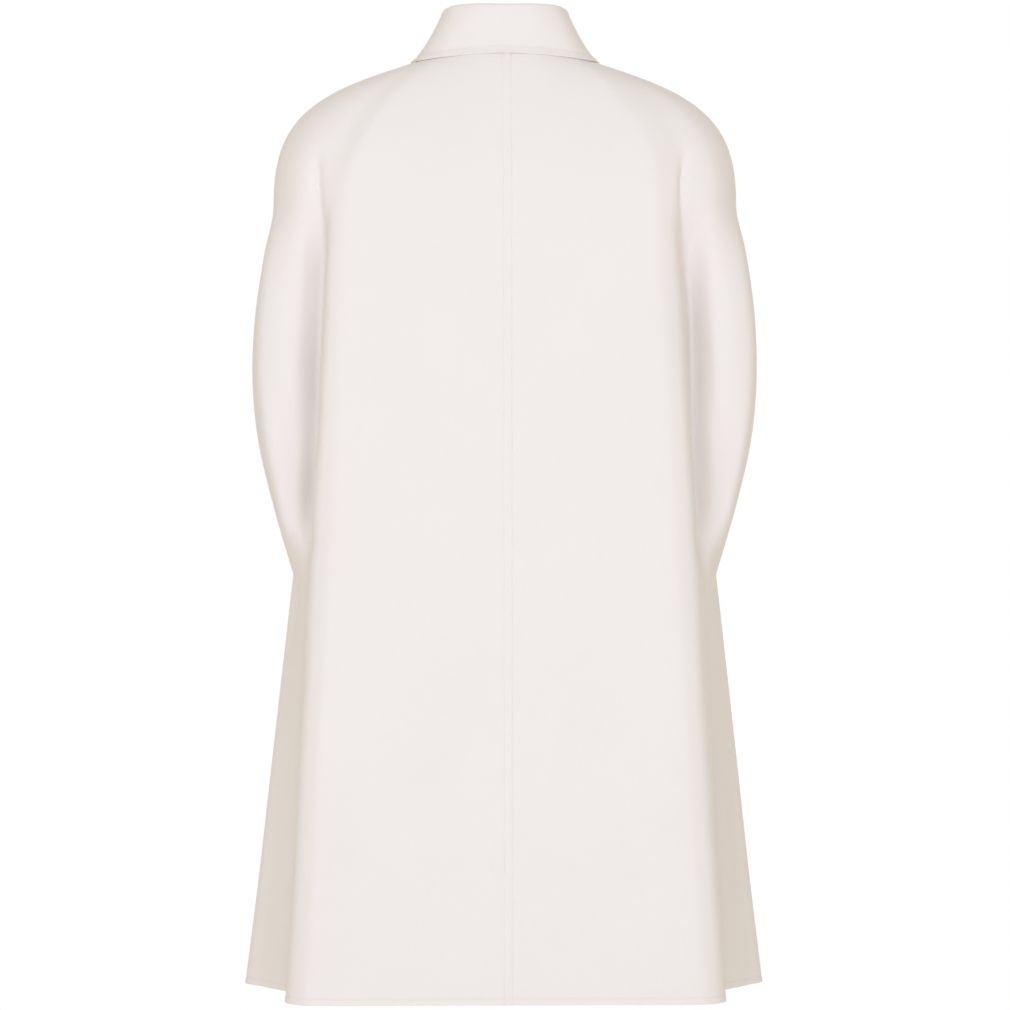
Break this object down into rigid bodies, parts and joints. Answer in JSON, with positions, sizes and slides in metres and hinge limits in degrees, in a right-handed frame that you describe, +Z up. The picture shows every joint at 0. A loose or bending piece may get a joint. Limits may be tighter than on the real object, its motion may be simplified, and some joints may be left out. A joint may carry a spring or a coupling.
{
  "type": "cape coat",
  "caption": "Mid-length wool cape coat, filled out as worn, with a turn-down collar, arm slits in the side seams and a buttoned front.",
  "frame": {"origin": "centre of the neck opening, at the level of the neck seam at the centre back", "axes": "+Z up along the wearer, +Y towards the wearer's back, +X towards the wearer's left"},
  "size_m": [0.515, 0.2958, 0.9645],
  "materials": {
    "back_left": "ivory double-faced wool, felted nap",
    "back_right": "ivory double-faced wool, felted nap",
    "front_left": "ivory double-faced wool, felted nap",
    "front_right": "ivory double-faced wool, felted nap",
    "collar_stand": "ivory double-faced wool, felted nap",
    "collar_fall": "ivory double-faced wool, felted nap",
    "button": "ivory horn, softly polished"
  },
  "bodies": {
    "root": {"back_left": "back_left", "back_right": "back_right", "front_left": "front_left", "front_right": "front_right", "collar_stand": "collar_stand", "collar_fall": "collar_fall", "button_1": "button", "button_2": "button", "button_3": "button", "button_4": "button", "button_5": "button"}
  },
  "joints": []
}
